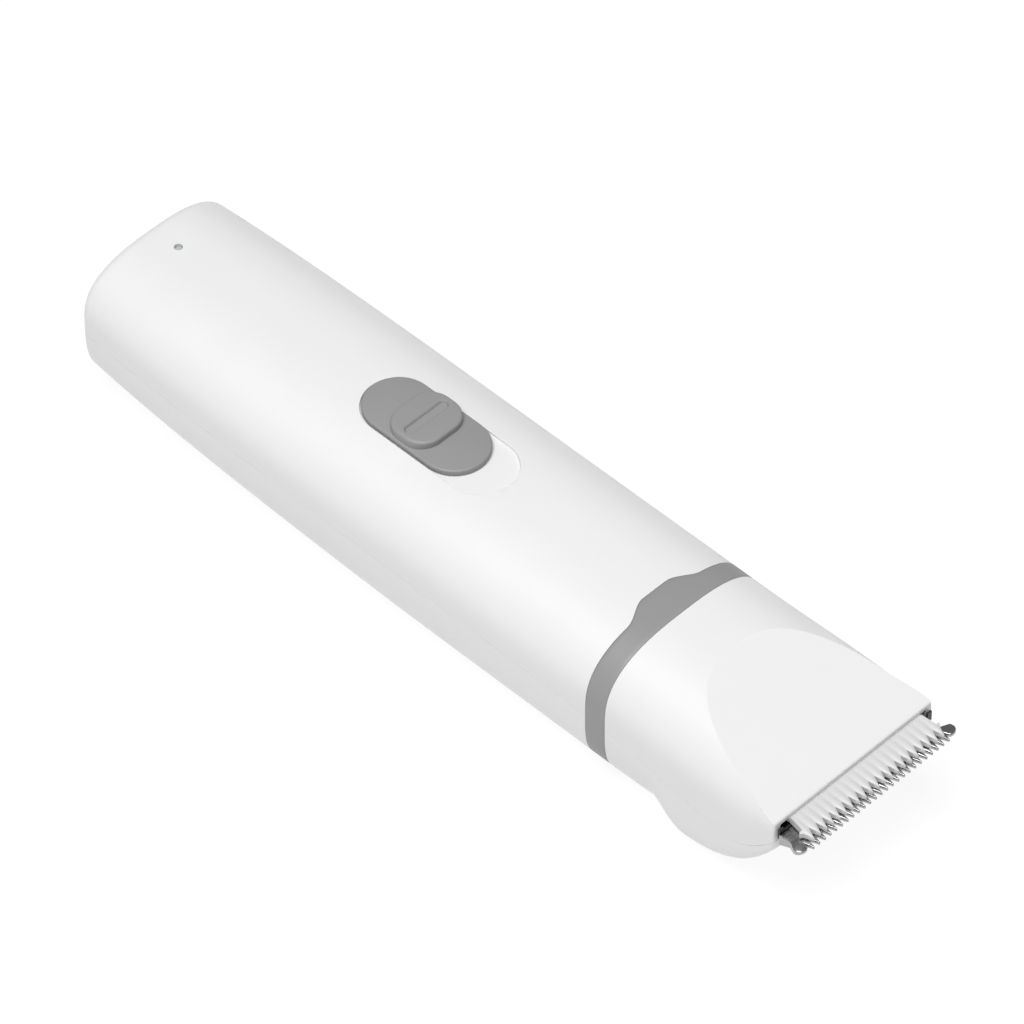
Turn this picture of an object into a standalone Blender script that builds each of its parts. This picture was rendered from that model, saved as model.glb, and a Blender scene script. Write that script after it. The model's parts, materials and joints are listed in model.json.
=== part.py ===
"""Electric pet clipper: a cordless handle with a slide switch, motor, battery and a pull-off blade head.

Units are metres. The clipper lies on its lower shell: +X points to the blade, +Y across, +Z up.
Every part is placed in the frame of the empty "clipper", which stands on the ground under the
front face of the collar ring. Lengths below are in millimetres times MM.
"""
import math

import bmesh
import bpy
from mathutils import Matrix, Vector

MM = 0.001

# Overall sizes
HANDLE_LENGTH = 126.5 * MM    # tail face to collar ring front
TIP_X = 44.95 * MM            # collar ring front to the tips of the steel comb
HALF_WIDTH = 18.5 * MM
HEIGHT = 28.75 * MM
WIDEST_Z = 15.75 * MM
N_TOP = 2.71                  # superellipse exponents of the section, above and below its widest level
N_BOTTOM = 3.75
N_CHIN = 9.0
LAND = 0.12 * MM              # depth of the flat that the handle lies on
GAP = 0.3 * MM                # clearance between touching pieces
WALL = 2.0 * MM
HEAD_WALL = 1.6 * MM
FACET_WALL = 0.9 * MM

# Handle taper towards the tail
TAIL_NARROWING = 0.10
TAIL_DROP = 0.35 * MM
TAIL_RISE = 3.6 * MM
RISE_START = 0.35
TAIL_ROUND = 2.0 * MM
WIDEST_RISE = 0.126

# Seam between the two shells
HANDLE_SEAM = 14.4 * MM       # at the collar ring, rising a little towards the tail
HANDLE_SEAM_RISE = 0.85 * MM
HEAD_SEAM = 14.15 * MM        # ahead of the ring, sloping down and then up round the chin
HEAD_SEAM_SLOPE = 0.1118
HEAD_SEAM_LIFT = 7.6 * MM

# Collar ring
RING_WIDTH = 4.4 * MM
HUMP = 2.25 * MM              # how far the ring's rear edge bulges rearwards over the top
HUMP_FLAT = 2.75 * MM
HUMP_FOOT = 8.75 * MM

# Head
FACET_START = 11.2 * MM
FACET_SLOPE = 0.2637
CHIN_START = 9.0 * MM
CHIN_RISE = 15.1 * MM
HEAD_STATIONS = (0.3, 5, 8, 11.2, 14, 17, 20, 24, 28, 31, 33.5, 35.5, 37, 38.3)

# Blades
COMB_NECK = 17.4 * MM
COMB_TEETH, COMB_PITCH = 25, 1.342 * MM
BLADE_TEETH, BLADE_PITCH = 21, 1.547 * MM
BLADE_TIP_X = 44.1 * MM
BLADE_ROOT_X = 42.1 * MM
BLADE_REAR_X = 38.65 * MM
BLADE_HALF = 15.9 * MM

# Drive line
AXIS_Z = 14.375 * MM
THROW = 1.0 * MM              # eccentric throw, half of the blade's stroke
SCREW_Y = 6.2 * MM            # motor screws either side of the axis
BLADE_SCREW_X, BLADE_SCREW_Y = 35.4 * MM, 11.9 * MM
BATTERY_Z = 13.6 * MM

# Switch
SWITCH_X = -59.45 * MM        # middle of the thumb switch when it is off, at the rear of its pocket
SWITCH_LENGTH, SWITCH_WIDTH = 25.8 * MM, 12.7 * MM
SWITCH_TRAVEL = 6.2 * MM
POCKET_LENGTH, POCKET_WIDTH = SWITCH_LENGTH + SWITCH_TRAVEL + 2 * GAP, SWITCH_WIDTH + 2 * GAP
POCKET_X = SWITCH_X + SWITCH_TRAVEL / 2
POCKET_FLOOR = 27.85 * MM
PLATE_HEIGHT = 0.55 * MM      # above the handle's top
PAD_LENGTH, PAD_WIDTH, PAD_HEIGHT = 10.0 * MM, 12.0 * MM, 2.0 * MM
GROOVE_LENGTH, GROOVE_WIDTH, GROOVE_DEPTH = 9.6 * MM, 1.75 * MM, 0.5 * MM

LED_X = -119.1 * MM
SOCKET_Z = 19.05 * MM

ARC_STEPS = 20                # points along each half section
ROUND_STEPS = 20              # sides of small round pieces


# ---------------------------------------------------------------- scene and materials

def clear_scene():
    for obj in list(bpy.data.objects):
        bpy.data.objects.remove(obj)


def new_collection(name):
    coll = bpy.data.collections.new(name)
    bpy.context.scene.collection.children.link(coll)
    return coll


def material(name, color, roughness, metallic=0.0):
    mat = bpy.data.materials.get(name)
    if mat is None:
        mat = bpy.data.materials.new(name)
        mat.use_nodes = True
        shader = mat.node_tree.nodes["Principled BSDF"]
        shader.inputs["Base Color"].default_value = (*color, 1.0)
        shader.inputs["Roughness"].default_value = roughness
        shader.inputs["Metallic"].default_value = metallic
    return mat


clear_scene()
PARTS = new_collection("electric_pet_clipper")
CUTTERS = new_collection("cutters")
ROOT = bpy.data.objects.new("clipper", None)
ROOT.location = ((HANDLE_LENGTH - TIP_X) / 2, 0.0, 0.0)
PARTS.objects.link(ROOT)

SHELL = material("white_shell", (0.86, 0.87, 0.88), 0.38)
GREY = material("grey_plastic", (0.30, 0.31, 0.32), 0.45)
BLACK = material("black_plastic", (0.02, 0.02, 0.022), 0.45)
NATURAL = material("natural_plastic", (0.75, 0.74, 0.70), 0.5)
CLEAR = material("clear_plastic", (0.80, 0.85, 0.85), 0.15)
CERAMIC = material("white_ceramic", (0.88, 0.87, 0.84), 0.30)
STEEL = material("polished_steel", (0.60, 0.60, 0.60), 0.18, 1.0)
ZINC = material("zinc_plated_steel", (0.62, 0.62, 0.60), 0.35, 1.0)
BRASS = material("brass", (0.78, 0.58, 0.25), 0.3, 1.0)
FERRITE = material("ferrite", (0.05, 0.05, 0.055), 0.6)
LAMINATE = material("laminated_steel", (0.35, 0.34, 0.33), 0.45, 1.0)
BOARD = material("circuit_board", (0.03, 0.22, 0.08), 0.4)
WRAP = material("battery_wrap", (0.05, 0.20, 0.42), 0.35)
LEAD_RED = material("red_lead", (0.45, 0.03, 0.03), 0.45)
LEAD_BLACK = material("black_lead", (0.02, 0.02, 0.02), 0.45)


# ---------------------------------------------------------------- mesh helpers

def adopt(obj, name, mat, origin=(0.0, 0.0, 0.0)):
    """Name an object, give it its material and place it in the clipper's frame."""
    obj.name = name
    obj.data.name = name
    obj.data.materials.clear()
    obj.data.materials.append(mat)
    obj.location = origin
    obj.parent = ROOT
    for coll in list(obj.users_collection):
        coll.objects.unlink(obj)
    PARTS.objects.link(obj)
    return obj


def from_bmesh(bm, name, mat, origin=(0.0, 0.0, 0.0), smooth=None):
    """Turn a bmesh drawn in the clipper's frame into a part whose origin is the given point."""
    bmesh.ops.recalc_face_normals(bm, faces=bm.faces)
    bmesh.ops.translate(bm, verts=bm.verts, vec=-Vector(origin))
    mesh = bpy.data.meshes.new(name)
    bm.to_mesh(mesh)
    bm.free()
    if smooth is not None:
        mesh.shade_smooth()
        mesh.set_sharp_from_angle(angle=math.radians(smooth))
    return adopt(bpy.data.objects.new(name, mesh), name, mat, origin)


def add_box(bm, low, high):
    """Add a box given by its corners in millimetres."""
    low, high = Vector(low) * MM, Vector(high) * MM
    size = high - low
    place = Matrix.Translation((low + high) / 2) @ Matrix.Diagonal((*size, 1.0))
    bmesh.ops.create_cube(bm, size=1.0, matrix=place)


def add_cylinder(bm, start, end, radius, steps=ROUND_STEPS):
    """Add a closed cylinder between two points; all sizes in millimetres."""
    start, end = Vector(start) * MM, Vector(end) * MM
    span = end - start
    turn = span.to_track_quat("Z", "X").to_matrix().to_4x4()
    place = Matrix.Translation((start + end) / 2) @ turn
    bmesh.ops.create_cone(bm, cap_ends=True, segments=steps, radius1=radius * MM,
                          radius2=radius * MM, depth=span.length, matrix=place)


def on_axis(x, y=0.0):
    """A point in millimetres level with the motor's axis, y metres to its side."""
    return x, y / MM, AXIS_Z / MM


def box(name, mat, low, high, origin=(0.0, 0.0, 0.0)):
    bm = bmesh.new()
    add_box(bm, low, high)
    return from_bmesh(bm, name, mat, origin)


def cylinder(name, mat, start, end, radius, origin=(0.0, 0.0, 0.0), steps=ROUND_STEPS):
    bm = bmesh.new()
    add_cylinder(bm, start, end, radius, steps)
    return from_bmesh(bm, name, mat, origin, smooth=40)


def combine(target, operation, draw):
    """Boolean a shape, drawn by a function that fills a bmesh, into a part."""
    bm = bmesh.new()
    draw(bm)
    bmesh.ops.recalc_face_normals(bm, faces=bm.faces)
    mesh = bpy.data.meshes.new("cutter")
    bm.to_mesh(mesh)
    bm.free()
    cutter = bpy.data.objects.new(target.name + "_cutter", mesh)
    cutter.parent = ROOT
    cutter.hide_render = True
    cutter.display_type = "WIRE"
    CUTTERS.objects.link(cutter)
    modifier = target.modifiers.new(operation.lower(), "BOOLEAN")
    modifier.operation = operation
    modifier.solver = "EXACT"
    modifier.object = cutter


def prism(bm, outline, low, high, axis="Z"):
    """Add a closed prism on an outline of (a, b) points in metres, between two levels."""
    def place(a, b, level):
        return (level, a, b) if axis == "X" else (a, b, level)
    bottom = [bm.verts.new(place(a, b, low)) for a, b in outline]
    top = [bm.verts.new(place(a, b, high)) for a, b in outline]
    count = len(outline)
    bm.faces.new(bottom[::-1])
    bm.faces.new(top)
    for i in range(count):
        j = (i + 1) % count
        bm.faces.new((bottom[i], bottom[j], top[j], top[i]))


def stadium(centre_x, length, width, steps=8, across=False):
    """Outline of a slot with round ends, along X, or along Y when across is true."""
    radius = min(length, width) / 2
    reach = max(length, width) / 2 - radius
    points = []
    for side in (1, -1):
        for k in range(steps + 1):
            angle = math.pi * (k / steps - 0.5)
            a = side * (reach + radius * math.cos(angle))
            b = side * radius * math.sin(angle)
            points.append((centre_x - b, a) if across else (centre_x + a, b))
    return points


def tube_curve(name, mat, points, radius):
    """A wire through points in millimetres, as a closed mesh."""
    curve = bpy.data.curves.new(name, "CURVE")
    curve.dimensions = "3D"
    curve.bevel_depth = radius * MM
    curve.bevel_resolution = 2
    curve.use_fill_caps = True
    spline = curve.splines.new("POLY")
    spline.points.add(len(points) - 1)
    for target, point in zip(spline.points, points):
        target.co = (*(Vector(point) * MM), 1.0)
    source = bpy.data.objects.new(name + "_path", curve)
    PARTS.objects.link(source)
    graph = bpy.context.evaluated_depsgraph_get()
    mesh = bpy.data.meshes.new_from_object(source.evaluated_get(graph))
    bpy.data.objects.remove(source)
    bm = bmesh.new()
    bm.from_mesh(mesh)
    bmesh.ops.remove_doubles(bm, verts=bm.verts, dist=0.00001)
    return from_bmesh(bm, name, mat, smooth=50)


def smooth_path(points, per_span=4):
    """Points of a Catmull-Rom curve through a few hand-placed ones."""
    knots = [Vector(p) for p in points]
    knots = [2 * knots[0] - knots[1]] + knots + [2 * knots[-1] - knots[-2]]
    path = []
    for a, b, c, d in zip(knots, knots[1:], knots[2:], knots[3:]):
        for k in range(per_span):
            t = k / per_span
            path.append(0.5 * (2 * b + (c - a) * t + (2 * a - 5 * b + 4 * c - d) * t * t
                               + (3 * b - a - 3 * c + d) * t ** 3))
    return path + [knots[-2]]


# ---------------------------------------------------------------- body sections

def ease(t):
    t = min(max(t, 0.0), 1.0)
    return t * t * (3 - 2 * t)


def handle_section(x):
    """Half width, heights and exponents of the handle's outline at x (0 at the ring, negative)."""
    s = min(max(-x / HANDLE_LENGTH, 0.0), 1.0)
    rise = TAIL_RISE * max(0.0, (s - RISE_START) / (1 - RISE_START)) ** 1.4
    widest = HEIGHT - (HEIGHT - WIDEST_Z) * (1 - WIDEST_RISE * s ** 2.2)
    return {"half": HALF_WIDTH * (1 - TAIL_NARROWING * s ** 6), "top": HEIGHT - TAIL_DROP * s * s,
            "widest": widest, "bottom": rise - LAND, "floor": rise, "n_top": N_TOP,
            "n_bottom": N_BOTTOM, "part": HANDLE_SEAM + HANDLE_SEAM_RISE * ease(s / 0.7), "roof": 1.0}


def head_section(x):
    """The same for the head, ahead of the ring, with the facet as its roof."""
    waist = 0.6 * MM * ease(1 - abs(x - 11.5 * MM) / (5 * MM))
    low = LAND * (2 * ease(x / (10 * MM)) - 1) + waist
    chin = CHIN_RISE * max(0.0, (x - CHIN_START) / (29.3 * MM)) ** 3.4
    lift = HEAD_SEAM_LIFT * max(0.0, (x - 29 * MM) / (9.3 * MM)) ** 1.5
    part = HEAD_SEAM - HEAD_SEAM_SLOPE * x + lift
    return {"half": HALF_WIDTH + 0.45 * MM * ease((x - 4 * MM) / (22 * MM)), "top": HEIGHT,
            "widest": WIDEST_Z + 3 * MM * ease((x - 30 * MM) / (8.3 * MM)), "bottom": low + chin,
            "floor": max(0.0, low + chin), "n_top": N_TOP,
            "n_bottom": N_BOTTOM + (N_CHIN - N_BOTTOM) * ease((x - 9.5 * MM) / (9 * MM)),
            "part": part, "roof": HEIGHT - FACET_SLOPE * (x - FACET_START)}


def inset(section, wall, roof_wall=0.0):
    """The section pulled in by a wall thickness."""
    inner = dict(section)
    inner["half"] -= wall
    inner["top"] -= wall
    inner["bottom"] += wall
    inner["floor"] += wall
    inner["roof"] -= roof_wall
    return inner


def angle_at(section, z):
    """The section's angle where its outline is at height z, on the +Y side."""
    if z >= section["widest"]:
        part = (z - section["widest"]) / (section["top"] - section["widest"])
        return math.asin(min(1.0, part) ** (section["n_top"] / 2))
    part = (section["widest"] - z) / (section["widest"] - section["bottom"])
    return -math.asin(min(1.0, part) ** (section["n_bottom"] / 2))


def outline_point(section, angle):
    """The (y, z) of the outline at an angle from +Y."""
    c, s = math.cos(angle), math.sin(angle)
    power = 2 / (section["n_top"] if s >= 0 else section["n_bottom"])
    y = section["half"] * math.copysign(abs(c) ** power, c)
    if s >= 0:
        z = section["widest"] + (section["top"] - section["widest"]) * s ** power
        return y, min(z, section["roof"])
    z = section["widest"] - (section["widest"] - section["bottom"]) * (-s) ** power
    return y, max(z, section["floor"])


def arc(section, start, end, steps=ARC_STEPS):
    return [outline_point(section, start + (end - start) * k / steps) for k in range(steps + 1)]


def upper_arc(section):
    start = angle_at(section, section["part"] + GAP / 2)
    return arc(section, start, math.pi - start)


def lower_arc(section):
    start = angle_at(section, section["part"] - GAP / 2)
    return arc(section, start, -math.pi - start)


def full_ring(section):
    return arc(section, 0.0, math.pi)[:-1] + arc(section, math.pi, 2 * math.pi)[:-1]


def ring_rear(y):
    """X of the collar ring's rear edge: straight, with a low hump over the top."""
    foot = (HUMP_FOOT - abs(y)) / (HUMP_FOOT - HUMP_FLAT)
    return -RING_WIDTH - HUMP * ease(foot)


def rows_to_verts(bm, rows):
    return [[bm.verts.new(point) for point in row] for row in rows]


def skin(bm, rows, closed=False):
    """Quads between neighbouring rows of vertices."""
    for a, b in zip(rows, rows[1:]):
        last = len(a) if closed else len(a) - 1
        for j in range(last):
            k = (j + 1) % len(a)
            bm.faces.new((a[j], a[k], b[k], b[j]))


def half_shell(name, mat, outer_rows, inner_rows, closed_tail):
    """A C-section shell from rows of outer and inner points, tail first."""
    bm = bmesh.new()
    outer = rows_to_verts(bm, outer_rows)
    inner = rows_to_verts(bm, inner_rows)
    skin(bm, outer)
    skin(bm, inner)
    for side in (0, -1):
        edge = [[a[side], b[side]] for a, b in zip(outer, inner)]
        skin(bm, edge)
    skin(bm, [outer[-1], inner[-1]])
    if closed_tail:
        bm.faces.new(outer[0])
        bm.faces.new(inner[0])
        bm.faces.new((outer[0][0], outer[0][-1], inner[0][-1], inner[0][0]))
    else:
        skin(bm, [outer[0], inner[0]])
    return from_bmesh(bm, name, mat, smooth=30)


def sleeve(name, mat, stations, outer_wall, inner_wall, section_at, rear=None):
    """A closed tube that follows the body's section between two stations."""
    bm = bmesh.new()
    skins = []
    for wall in (outer_wall, inner_wall):
        rows = []
        for x in stations:
            ring = full_ring(inset(section_at(x), wall))
            use_rear = rear is not None and x == stations[0]
            rows.append([(rear(y, z) if use_rear else x, y, z) for y, z in ring])
        skins.append(rows_to_verts(bm, rows))
    outer, inner = skins
    skin(bm, outer, closed=True)
    skin(bm, inner, closed=True)
    skin(bm, [outer[0], inner[0]], closed=True)
    skin(bm, [outer[-1], inner[-1]], closed=True)
    return from_bmesh(bm, name, mat, smooth=30)


# ---------------------------------------------------------------- handle casing

HANDLE_STATIONS = (-118, -106, -92, -76, -60, -44, -28, -14)


def handle_rows(half_arc, wall, upper):
    """Rows of points along the handle shell, from the tail face to the collar ring."""
    rows = []
    tail = -HANDLE_LENGTH + wall
    corner = max(TAIL_ROUND - wall, 0.6 * MM)
    for angle in (0.0, 30.0, 60.0, 90.0):
        x = tail + corner * (1 - math.cos(math.radians(angle)))
        pull = corner * (1 - math.sin(math.radians(angle)))
        rows.append([(x, y, z) for y, z in half_arc(inset(handle_section(x), wall + pull))])
    for station in HANDLE_STATIONS:
        x = station * MM
        rows.append([(x, y, z) for y, z in half_arc(inset(handle_section(x), wall))])
    front = half_arc(inset(handle_section(-RING_WIDTH), wall))
    rows.append([((ring_rear(y) if upper else -RING_WIDTH) - GAP, y, z) for y, z in front])
    return rows


def make_upper_shell():
    shell = half_shell("upper_shell", SHELL, handle_rows(upper_arc, 0.0, True),
                       handle_rows(upper_arc, WALL, True), closed_tail=True)
    combine(shell, "DIFFERENCE", lambda bm: prism(
        bm, stadium(POCKET_X, POCKET_LENGTH, POCKET_WIDTH), POCKET_FLOOR, HEIGHT + WALL))
    combine(shell, "DIFFERENCE", lambda bm: add_switch_box(bm, (-4.8, -2.6, 24), (11.0, 2.6, 29)))
    combine(shell, "DIFFERENCE", lambda bm: add_cylinder(
        bm, (LED_X / MM, 0, 24), (LED_X / MM, 0, 30), 0.95, 12))
    combine(shell, "DIFFERENCE", lambda bm: prism(
        bm, socket_outline(9.6, 3.8), -130 * MM, -122 * MM, axis="X"))


def socket_outline(width, height):
    """A stadium across the tail, about the charging socket's centre; sizes in millimetres."""
    return [(y, z + SOCKET_Z) for y, z in stadium(0.0, width * MM, height * MM)]


def make_lower_shell():
    half_shell("lower_shell", SHELL, handle_rows(lower_arc, 0.0, False),
               handle_rows(lower_arc, WALL, False), closed_tail=True)


def make_collar():
    def rear(y, z):
        return ring_rear(y) if z > WIDEST_Z else -RING_WIDTH
    sleeve("collar_ring", GREY, (-RING_WIDTH, 0.0), 0.0, WALL, handle_section, rear)
    bulkhead = from_bmesh(bulkhead_mesh(), "front_bulkhead", NATURAL)
    combine(bulkhead, "DIFFERENCE", lambda bm: add_cylinder(
        bm, on_axis(-12), on_axis(-4), 4.4))
    for side in (-1, 1):
        combine(bulkhead, "DIFFERENCE", lambda bm, side=side: add_cylinder(
            bm, on_axis(-12, side * SCREW_Y), on_axis(-4, side * SCREW_Y), 1.3, 12))


def bulkhead_mesh():
    bm = bmesh.new()
    outline = full_ring(inset(handle_section(-8 * MM), WALL + GAP))
    prism(bm, outline, -9.0 * MM, -7.3 * MM, axis="X")
    return bm


# ---------------------------------------------------------------- inside the handle

def make_chassis():
    chassis = box("chassis", BLACK, (-100, -9, 5.0), (-42, 9, 6.2))
    combine(chassis, "UNION", lambda bm: add_box(bm, (-43, -11.6, 5.0), (-10.5, 11.6, 6.2)))
    for x in (-90, -55):
        combine(chassis, "UNION", lambda bm, x=x: add_box(bm, (x, -9, 5.5), (x + 3, 9, 12.5)))
    for y in (-11.6, 10.4):
        combine(chassis, "UNION", lambda bm, y=y: add_box(bm, (-34, y, 5.5), (-14, y + 1.2, 12)))
    for x, y in ((-98, 6.5), (-98, -6.5), (-43.3, 7.6), (-43.3, -7.6)):
        combine(chassis, "UNION", lambda bm, x=x, y=y: add_cylinder(
            bm, (x, y, 5.6), (x, y, 20.7), 0.9, 12))
    combine(chassis, "DIFFERENCE", lambda bm: add_cylinder(
        bm, (-96, 0, BATTERY_Z / MM), (-44.5, 0, BATTERY_Z / MM), 7.4, 32))


def make_battery():
    profile = [(0, 0), (6.6, 0), (7.1, 0.5), (7.1, 48.0), (6.6, 48.6), (2.6, 48.8), (2.4, 50), (0, 50)]
    spin("battery_cell", WRAP, profile, (-95, 0, BATTERY_Z / MM), 28)
    box("battery_tab_front", ZINC, (-44.7, -2.5, 12), (-44.4, 2.5, 20.7))
    box("battery_tab_rear", ZINC, (-95.6, -2.5, 12), (-95.3, 2.5, 20.7))


def spin(name, mat, profile, start, steps=ROUND_STEPS, smooth=35):
    """Turn a profile of (radius, distance) points in millimetres about an axis along +X."""
    mesh = bpy.data.meshes.new(name)
    mesh.from_pydata([(r * MM, 0, d * MM) for r, d in reversed(profile)],
                     [(i, i + 1) for i in range(len(profile) - 1)], [])
    obj = adopt(bpy.data.objects.new(name, mesh), name, mat, Vector(start) * MM)
    obj.rotation_euler = (0, math.pi / 2, 0)
    screw = obj.modifiers.new("turn", "SCREW")
    screw.steps = screw.render_steps = steps
    screw.use_merge_vertices = True
    screw.merge_threshold = 0.00001
    screw.use_smooth_shade = True
    return obj


def make_electronics():
    box("main_board", BOARD, (-121, -8, 21.0), (-42.5, 8, 22.2))
    box("charge_chip", BLACK, (-109, -2.5, 22.5), (-104, 2.5, 24.0))
    cylinder("charge_inductor", FERRITE, (-99, 0, 22.5), (-99, 0, 25.0), 3.0)
    box("status_led", CLEAR, (-119.9, -0.8, 22.5), (-118.3, 0.8, 23.4))
    cylinder("light_pipe", CLEAR, (LED_X / MM, 0, 23.7), (LED_X / MM, 0, 27.9), 0.62, steps=12)
    socket = bmesh.new()
    prism(socket, socket_outline(9.0, 3.2), -126.2 * MM, -118.9 * MM, axis="X")
    shell = from_bmesh(socket, "charging_socket", ZINC, smooth=40)
    combine(shell, "DIFFERENCE", lambda bm: prism(
        bm, socket_outline(8.3, 2.5), -127 * MM, -120 * MM, axis="X"))
    box("socket_tongue", BLACK, (-125.7, -3.3, 18.7), (-120.3, 3.3, 19.4))


def add_switch_box(bm, low, high):
    """A box in millimetres whose X is measured from the middle of the thumb switch."""
    add_box(bm, (low[0] + SWITCH_X / MM, *low[1:]), (high[0] + SWITCH_X / MM, *high[1:]))


def switch_box(name, mat, low, high, origin):
    bm = bmesh.new()
    add_switch_box(bm, low, high)
    return from_bmesh(bm, name, mat, origin)


def make_switch():
    """The electrical switch, and the cap and slider that the thumb moves along X."""
    origin = (SWITCH_X, 0.0, HEIGHT)
    switch_box("switch_housing", ZINC, (-5.0, -2.0, 22.5), (5.0, 2.0, 24.6), origin)
    switch_box("switch_knob", BLACK, (-1.2, -1.0, 24.9), (1.2, 1.0, 26.3), origin)
    slider = switch_box("switch_slider", NATURAL, (-4.4, -2.2, 24.9), (4.4, 2.2, 27.9), origin)
    combine(slider, "UNION", lambda bm: add_switch_box(bm, (-4.4, -4.6, 25.0), (4.4, 4.6, 25.9)))
    combine(slider, "DIFFERENCE", lambda bm: add_switch_box(bm, (-1.5, -1.3, 24), (1.5, 1.3, 26.6)))
    make_switch_cap(origin)


def make_switch_cap(origin):
    bm = bmesh.new()
    plate = stadium(SWITCH_X, SWITCH_LENGTH, SWITCH_WIDTH, 10)
    prism(bm, plate, POCKET_FLOOR + GAP, HEIGHT + PLATE_HEIGHT)
    cap = from_bmesh(bm, "switch_cap", GREY, origin, smooth=40)
    bevel = cap.modifiers.new("soft_edge", "BEVEL")
    bevel.width = 0.4 * MM
    bevel.segments = 2
    bevel.limit_method = "ANGLE"
    combine(cap, "UNION", lambda bm: prism(
        bm, stadium(SWITCH_X, PAD_LENGTH, PAD_WIDTH, 8, across=True),
        HEIGHT, HEIGHT + PAD_HEIGHT))
    combine(cap, "DIFFERENCE", lambda bm: prism(
        bm, stadium(SWITCH_X, GROOVE_WIDTH, GROOVE_LENGTH, 4, across=True),
        HEIGHT + PAD_HEIGHT - GROOVE_DEPTH, HEIGHT + PAD_HEIGHT + 1 * MM))


# ---------------------------------------------------------------- motor

def flat_round(radius, half_height, steps=28):
    """Outline (y, z) of a round can with flat top and bottom, about the motor's axis."""
    points = []
    for k in range(steps):
        angle = 2 * math.pi * (k + 0.5) / steps
        z = radius * math.sin(angle)
        points.append((radius * math.cos(angle), AXIS_Z + max(-half_height, min(half_height, z))))
    return points


def make_motor():
    bm = bmesh.new()
    prism(bm, flat_round(10.0 * MM, 7.7 * MM), -36.3 * MM, -9.4 * MM, axis="X")
    can = from_bmesh(bm, "motor_can", ZINC, smooth=40)
    combine(can, "DIFFERENCE", lambda bm: prism(
        bm, flat_round(9.1 * MM, 6.8 * MM), -38 * MM, -10.3 * MM, axis="X"))
    combine(can, "DIFFERENCE", lambda bm: add_cylinder(
        bm, on_axis(-12), on_axis(-8), 2.6))
    for side in (-1, 1):
        combine(can, "DIFFERENCE", lambda bm, side=side: add_cylinder(
            bm, on_axis(-12, side * SCREW_Y), on_axis(-8, side * SCREW_Y), 1.3, 12))
    bm = bmesh.new()
    prism(bm, flat_round(9.8 * MM, 7.5 * MM), -38.9 * MM, -36.6 * MM, axis="X")
    end_cap = from_bmesh(bm, "motor_end_cap", BLACK, smooth=40)
    combine(end_cap, "DIFFERENCE", lambda bm: add_cylinder(
        bm, on_axis(-40), on_axis(-35), 2.6))
    bush = [(1.15, 0), (2.3, 0), (2.3, 2.0), (1.15, 2.0), (1.15, 0)]
    spin("front_bearing", BRASS, bush, on_axis(-10.9))
    spin("rear_bearing", BRASS, bush, on_axis(-38.7))
    for name, side in (("motor_magnet_left", 1), ("motor_magnet_right", -1)):
        make_magnet(name, side)
    for name, y in (("motor_terminal_left", 5.0), ("motor_terminal_right", -5.0)):
        box(name, BRASS, (-41.6, y - 1.0, 14.1), (-39.2, y + 1.0, 14.6))
    for name, side in (("motor_screw_left", 1), ("motor_screw_right", -1)):
        profile = [(0, 0), (1.0, 0), (1.0, 5.3), (1.9, 5.3), (1.9, 6.1), (1.4, 6.6), (0, 6.6)]
        spin(name, ZINC, profile, on_axis(-12.3, side * SCREW_Y), 16)


def make_magnet(name, side):
    """A curved ferrite magnet on one side of the motor."""
    outline = []
    for radius, order in ((8.8 * MM, 1), (6.9 * MM, -1)):
        angles = [math.radians(-45 + 90 * k / 8) for k in range(9)][::order]
        outline += [(side * radius * math.cos(a), AXIS_Z + radius * math.sin(a)) for a in angles]
    bm = bmesh.new()
    prism(bm, outline, -34 * MM, -14 * MM, axis="X")
    from_bmesh(bm, name, FERRITE, smooth=40)


def make_rotor():
    """Everything that turns: shaft, armature, commutator, eccentric cam and drive pin."""
    origin = (-8 * MM, 0.0, AXIS_Z)
    cylinder("motor_shaft", STEEL, on_axis(-38.9), on_axis(-4.3), 1.0, origin)
    bm = bmesh.new()
    outline = []
    for k in range(36):
        angle = 2 * math.pi * k / 36
        slot = abs((math.degrees(angle) % 120) - 60) < 12
        radius = (3.2 if slot else 6.4) * MM
        outline.append((radius * math.sin(angle), AXIS_Z + radius * math.cos(angle)))
    prism(bm, outline, -32 * MM, -16 * MM, axis="X")
    armature = from_bmesh(bm, "motor_armature", LAMINATE, origin)
    combine(armature, "DIFFERENCE", lambda bm: add_cylinder(
        bm, on_axis(-33), on_axis(-15), 1.3))
    ring = [(1.3, 0), (2.6, 0), (2.6, 2.6), (1.3, 2.6), (1.3, 0)]
    spin("commutator", BRASS, ring, on_axis(-35.6))
    cam = cylinder("eccentric_cam", NATURAL, on_axis(-7.0), on_axis(-2.2), 3.6, origin, 24)
    combine(cam, "DIFFERENCE", lambda bm: add_cylinder(
        bm, on_axis(-8), on_axis(-4.0), 1.3))
    pin_z = (AXIS_Z + THROW) / MM
    combine(cam, "DIFFERENCE", lambda bm: add_cylinder(
        bm, (-3.5, 0, pin_z), (-1, 0, pin_z), 1.3))
    cylinder("drive_pin", STEEL, (-3.2, 0, pin_z), (5.8, 0, pin_z), 1.0, origin, 16)


def make_leads():
    for name, mat, y in (("motor_lead_left", LEAD_RED, 5.0), ("motor_lead_right", LEAD_BLACK, -5.0)):
        route = [(-41.9, y, 14.35), (-43.2, y, 15.2), (-43.3, y, 17.5), (-43.2, y, 20.5)]
        tube_curve(name, mat, smooth_path(route, 3), 0.55)


# ---------------------------------------------------------------- head

def head_rows(half_arc, wall, roof_wall):
    rows = []
    for station in HEAD_STATIONS:
        x = station * MM
        section = inset(head_section(x), wall, roof_wall)
        rows.append([(x, y, z) for y, z in half_arc(section)])
    return rows


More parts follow.
